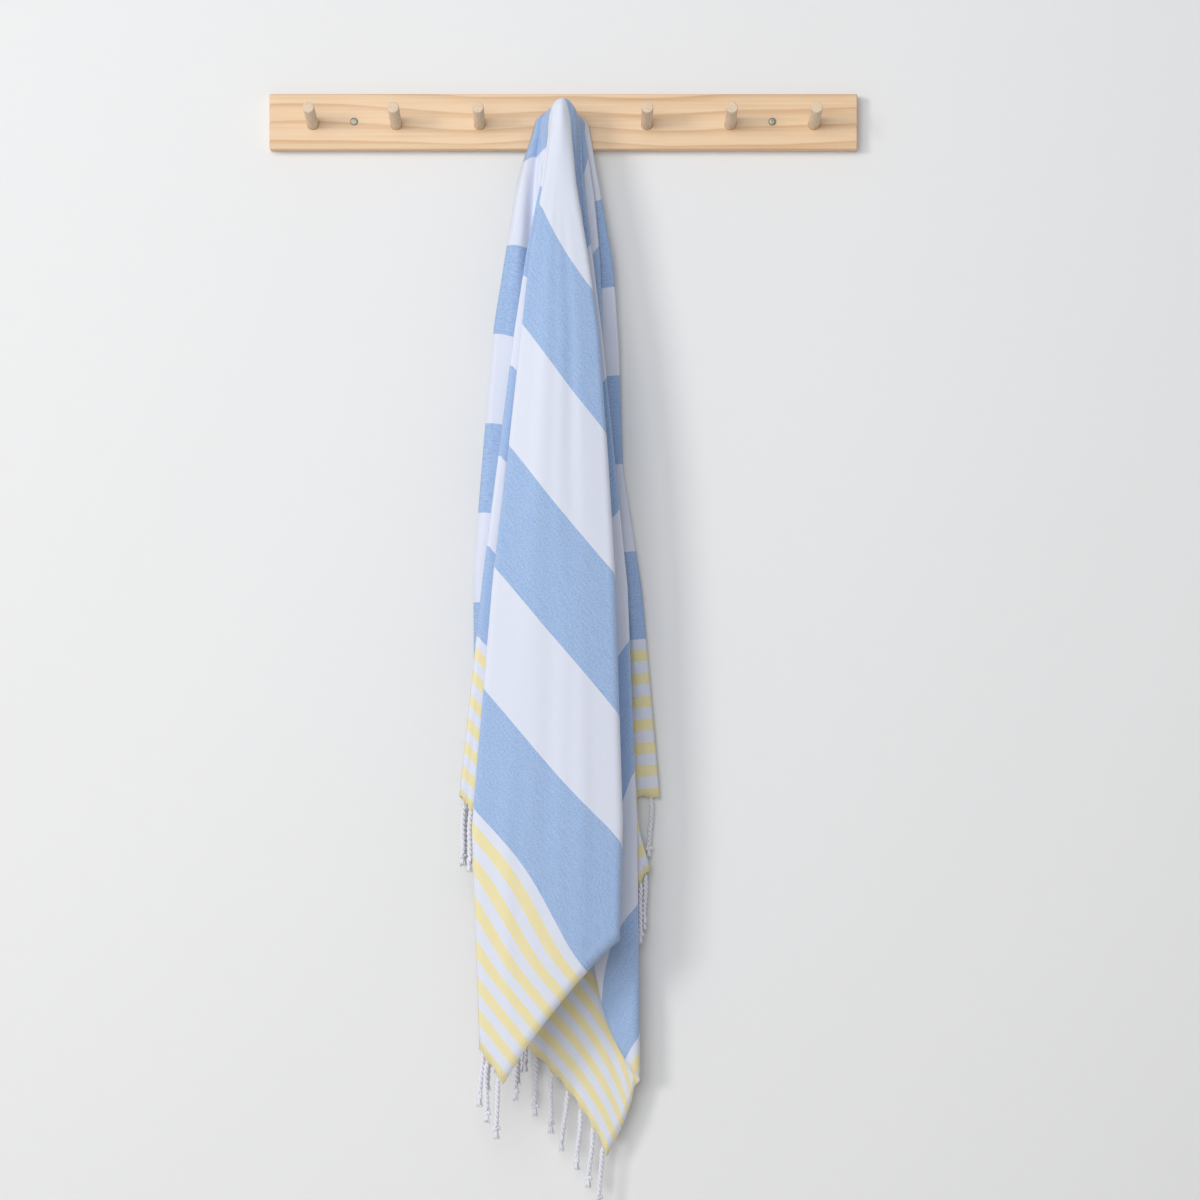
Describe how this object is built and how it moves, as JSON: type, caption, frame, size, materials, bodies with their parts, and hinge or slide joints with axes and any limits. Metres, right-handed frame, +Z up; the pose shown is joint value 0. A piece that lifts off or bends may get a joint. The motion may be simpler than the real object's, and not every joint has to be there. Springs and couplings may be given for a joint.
{
  "type": "striped towel on a peg rail",
  "caption": "Flat-woven striped cotton towel with knotted fringes, thrown over the middle peg of a wooden wall rail.",
  "frame": {"origin": "centre of the board's back face, where it meets the wall", "axes": "+Z up, +Y into the wall, the pegs point to -Y, +X to the right as seen from the room"},
  "size_m": [0.72, 0.1267, 1.3672],
  "materials": {
    "woven_cotton": "flat weave in blue and white bands, with narrow yellow stripes at both ends",
    "cotton_yarn": "twisted white cotton",
    "pine": "clear satin varnish",
    "beech": "bare sanded wood",
    "zinc_steel": "zinc plated"
  },
  "bodies": {
    "root": {"towel": "woven_cotton", "fringe_left": "cotton_yarn", "fringe_right": "cotton_yarn", "board": "pine", "peg_1": "beech", "peg_2": "beech", "peg_3": "beech", "peg_4": "beech", "peg_5": "beech", "peg_6": "beech", "peg_7": "beech", "screw_left": "zinc_steel", "screw_right": "zinc_steel"}
  },
  "joints": []
}
